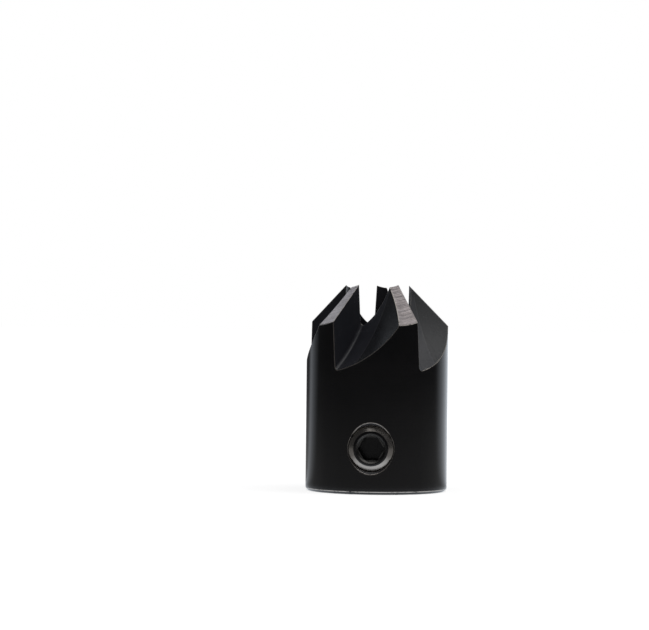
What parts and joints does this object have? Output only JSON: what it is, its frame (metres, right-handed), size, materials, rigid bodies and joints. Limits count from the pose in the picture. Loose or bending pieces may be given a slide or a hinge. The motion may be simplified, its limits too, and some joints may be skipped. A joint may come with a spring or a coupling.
{
  "type": "drill countersink",
  "caption": "Push-on countersink: a bored steel cylinder with relieved teeth at one end, held on a drill by a socket set screw.",
  "frame": {"origin": "centre of the flat foot, on the axis of the bore", "axes": "+Z along the bore axis from the foot to the teeth, -Y out along the set screw"},
  "size_m": [0.016, 0.016, 0.0233],
  "materials": {
    "black_steel": "smooth black oxide steel, satin, with the lands behind the cutting edges ground bare",
    "screw_steel": "black oxide alloy steel, oiled"
  },
  "bodies": {
    "body": {"cutter_body": "black_steel"},
    "screw": {"set_screw": "screw_steel"}
  },
  "joints": [
    {"name": "screw_travel", "type": "slide", "parent": "body", "child": "screw", "axis": [0, 1, 0], "range_m": [-0.0015, 0.001]}
  ]
}
